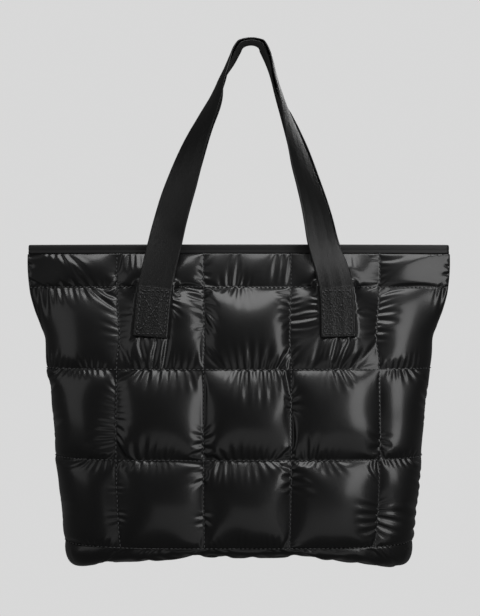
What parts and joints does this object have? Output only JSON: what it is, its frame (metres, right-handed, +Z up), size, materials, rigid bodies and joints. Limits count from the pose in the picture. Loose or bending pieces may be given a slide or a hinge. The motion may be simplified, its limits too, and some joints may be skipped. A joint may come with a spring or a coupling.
{
  "type": "quilted puffer tote bag",
  "caption": "Glossy black quilted puffer tote bag hanging by its two black webbing handles.",
  "frame": {"origin": "the point under the crown of the two handles where a hook carries the bag", "axes": "+Z up along the hanging bag, +Y from the front panel to the back panel, +X to the right of someone facing the front panel"},
  "size_m": [0.4758, 0.1476, 0.5959],
  "materials": {
    "nylon": "glossy",
    "binding_tape": "satin",
    "webbing": "matte"
  },
  "bodies": {
    "root": {"front_panel": "nylon", "back_panel": "nylon", "base_panel": "nylon", "top_binding": "binding_tape", "front_handle": "webbing", "back_handle": "webbing"}
  },
  "joints": []
}
